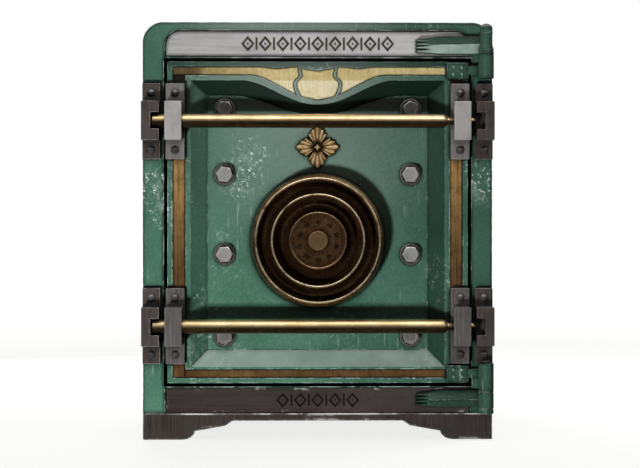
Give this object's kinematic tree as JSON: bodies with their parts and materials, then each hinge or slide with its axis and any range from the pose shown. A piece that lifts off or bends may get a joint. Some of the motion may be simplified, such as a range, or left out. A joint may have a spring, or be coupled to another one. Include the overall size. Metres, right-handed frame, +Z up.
{
  "type": "safe",
  "caption": "Antique-style floor safe: filled steel cabinet on bracket feet, hinged door with dial, handwheel, hand-slid lock rods, brass inlay and live bolts.",
  "frame": {"origin": "on the floor, at the middle of the overall footprint", "axes": "+Z up, the door faces -Y, +X to the right seen from the front; the hinges are on the +X side"},
  "size_m": [0.5, 0.4875, 0.597],
  "materials": {
    "green_paint": "worn semi-gloss",
    "plinth_steel": "worn satin",
    "header_steel": "scratched satin",
    "sill_steel": "scratched satin",
    "lining_paint": "satin",
    "filling": "rough",
    "seal": "matt",
    "keeper_steel": "worn satin",
    "guide_steel": "worn satin",
    "screw_steel": "worn",
    "bolt_steel": "worn satin",
    "inlay_bronze": "patinated",
    "crest_brass": "aged satin",
    "rosette_brass": "aged",
    "dial_bronze": "aged polish",
    "cap_bronze": "satin",
    "rod_brass": "polished",
    "lock_brass": "machined",
    "case_paint": "satin",
    "bright_steel": "machined"
  },
  "bodies": {
    "root": {"plinth": "plinth_steel", "base_plate": "plinth_steel", "outer_casing": "green_paint", "back_panel": "green_paint", "back_rivets": "green_paint", "front_frame": "green_paint", "header_plate": "header_steel", "sill_plate": "sill_steel", "jamb_frame": "green_paint", "door_seal": "seal", "fire_filling": "filling", "lining_hood": "lining_paint", "lining_floor": "lining_paint", "lining_back": "lining_paint", "shelf": "lining_paint", "shelf_supports": "lining_paint", "keeper_left_upper": "keeper_steel", "keeper_left_lower": "keeper_steel", "keeper_right_upper": "keeper_steel", "keeper_right_lower": "keeper_steel", "keeper_screws": "screw_steel", "hinge_arm_upper": "green_paint", "hinge_arm_lower": "green_paint", "hinge_pin_upper": "screw_steel", "hinge_pin_lower": "screw_steel"},
    "door": {"door_slab": "green_paint", "door_panel": "green_paint", "panel_bolts": "bolt_steel", "panel_washers": "bolt_steel", "side_inlays": "inlay_bronze", "inlay_bottom": "inlay_bronze", "crest_wings": "crest_brass", "crest_keystone": "crest_brass", "rosette": "rosette_brass", "guide_left_upper": "guide_steel", "guide_left_lower": "guide_steel", "guide_right_upper": "guide_steel", "guide_right_lower": "guide_steel", "guide_screws": "screw_steel", "hinge_leaf_upper": "green_paint", "hinge_leaf_lower": "green_paint", "leaf_rivets": "green_paint", "dial_bezel": "dial_bronze", "spindle_bush": "lock_brass", "door_case": "case_paint", "door_back_cover": "case_paint", "cover_screws": "bright_steel", "bolt_guides": "bright_steel", "lock_case": "bright_steel"},
    "rod_upper": {"rod_upper": "rod_brass"},
    "rod_lower": {"rod_lower": "rod_brass"},
    "handwheel": {"handwheel": "dial_bronze", "pinion": "bright_steel"},
    "dial": {"dial_knob": "dial_bronze", "dial_cap": "cap_bronze", "spindle": "bright_steel", "wheel_pack": "lock_brass"},
    "boltwork": {"live_bolts": "bright_steel", "bolt_carrier": "bright_steel"},
    "lock_bolt": {"lock_bolt": "lock_brass"}
  },
  "joints": [
    {"name": "door_swing", "type": "hinge", "parent": "root", "child": "door", "pos_m": [0.239, -0.21975, 0.311], "axis": [0, 0, 1], "range_deg": [0, 110]},
    {"name": "rod_upper_slide", "type": "slide", "parent": "door", "child": "rod_upper", "axis": [-1, 0, 0], "range_m": [0, 0.009]},
    {"name": "rod_lower_slide", "type": "slide", "parent": "door", "child": "rod_lower", "axis": [-1, 0, 0], "range_m": [0, 0.009]},
    {"name": "handwheel_turn", "type": "hinge", "parent": "door", "child": "handwheel", "pos_m": [0, -0.19975, 0.285], "axis": [0, 1, 0], "range_deg": [0, 80]},
    {"name": "boltwork_slide", "type": "slide", "parent": "door", "child": "boltwork", "axis": [-1, 0, 0], "range_m": [0, 0.02514]},
    {"name": "lock_bolt_slide", "type": "slide", "parent": "door", "child": "lock_bolt", "axis": [-1, 0, 0], "range_m": [0, 0.02514]},
    {"name": "dial_turn", "type": "hinge", "parent": "door", "child": "dial", "pos_m": [0, -0.19975, 0.285], "axis": [0, 1, 0], "continuous": true}
  ],
  "couplings": [
    {"joint": "boltwork_slide", "follows": "handwheel_turn", "m_per_rad": 0.018},
    {"joint": "lock_bolt_slide", "follows": "handwheel_turn", "m_per_rad": 0.018}
  ]
}
